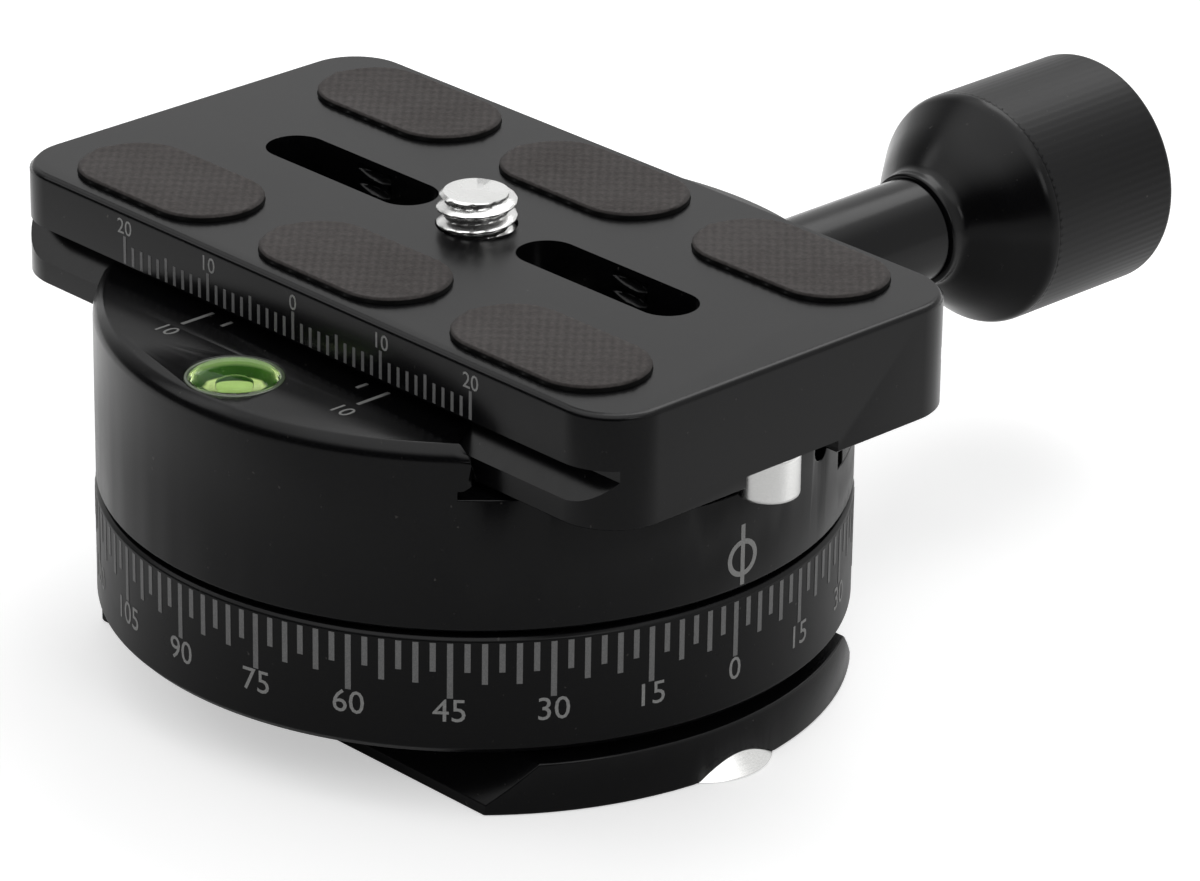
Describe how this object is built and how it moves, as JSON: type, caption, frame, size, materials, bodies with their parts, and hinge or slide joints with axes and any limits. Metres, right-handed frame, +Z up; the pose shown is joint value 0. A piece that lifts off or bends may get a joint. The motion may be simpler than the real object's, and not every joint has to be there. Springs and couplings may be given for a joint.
{
  "type": "panoramic tripod head",
  "caption": "Round panoramic tripod head: turning degree base on a dovetail foot, screw-knob clamp with a bubble level, and a slotted quick-release camera plate.",
  "frame": {"origin": "centre of the tripod thread in the foot's bottom face, on the pan axis", "axes": "+Z up along the pan axis, +X along the plate towards the index mark, +Y along the clamp screw towards the knob"},
  "size_m": [0.07, 0.1021, 0.039],
  "materials": {
    "black_anodised": "satin black anodised",
    "steel": "turned, bright",
    "blackened_steel": "black oxide",
    "stainless": "polished stainless",
    "brass": "turned",
    "bearing_bronze": "oil-filled bronze",
    "rubber": "matt, fine dimples",
    "acetal": "matt",
    "nylon": "matt",
    "level_shell": "clear, tinted",
    "level_liquid": "clear green liquid",
    "level_lens": "clear"
  },
  "bodies": {
    "base": {"dovetail_foot": "black_anodised", "foot_stop_screws": "stainless", "tripod_thread_bush": "stainless", "base_screws": "blackened_steel", "dial_ring": "black_anodised", "bearing_bush": "bearing_bronze", "friction_ring": "acetal"},
    "rotor": {"pan_spindle": "steel", "spindle_screws": "blackened_steel", "ring_nut": "steel", "wave_spring": "steel", "lower_thrust_washer": "acetal", "clamp_body": "black_anodised", "clamp_nut_bush": "brass", "guide_pins": "steel", "guide_grub_screws": "blackened_steel", "return_spring_left": "steel", "return_spring_right": "steel", "level_housing": "level_shell", "level_liquid": "level_liquid", "level_lens": "level_lens"},
    "jaw": {"moving_jaw": "black_anodised", "guide_bushes": "bearing_bronze", "thrust_washer": "acetal"},
    "knob": {"clamp_screw": "stainless", "screw_keeper_clip": "steel", "knob_stem": "black_anodised", "knob_grip": "black_anodised", "knob_cap": "black_anodised"},
    "plate": {"quick_release_plate": "black_anodised", "plate_stop_screws": "stainless", "screw_keeper_ring": "steel", "pad_front_left": "rubber", "pad_front_middle": "rubber", "pad_front_right": "rubber", "pad_back_left": "rubber", "pad_back_middle": "rubber", "pad_back_right": "rubber"},
    "screw_washer": {"camera_screw_washer": "nylon"},
    "camera_screw": {"camera_screw": "stainless"}
  },
  "joints": [
    {"name": "pan", "type": "hinge", "parent": "base", "child": "rotor", "pos_m": [0, 0, 0.0153], "axis": [0, 0, 1], "continuous": true},
    {"name": "jaw_slide", "type": "slide", "parent": "rotor", "child": "jaw", "axis": [0, 1, 0], "range_m": [0, 0.004], "deforming": ["return_spring_left", "return_spring_right"]},
    {"name": "knob_spin", "type": "hinge", "parent": "jaw", "child": "knob", "pos_m": [0, 0, 0.022], "axis": [0, 1, 0], "range_deg": [0, 1440]},
    {"name": "plate_slide", "type": "slide", "parent": "rotor", "child": "plate", "axis": [1, 0, 0], "range_m": [-0.01, 0.01]},
    {"name": "camera_screw_lift", "type": "slide", "parent": "plate", "child": "screw_washer", "axis": [0, 0, 1], "range_m": [0, 0.0022]},
    {"name": "camera_screw_spin", "type": "hinge", "parent": "screw_washer", "child": "camera_screw", "pos_m": [0, 0, 0.0305], "axis": [0, 0, 1], "continuous": true}
  ],
  "couplings": [
    {"joint": "knob_spin", "follows": "jaw_slide", "rad_per_m": 6283.2}
  ]
}
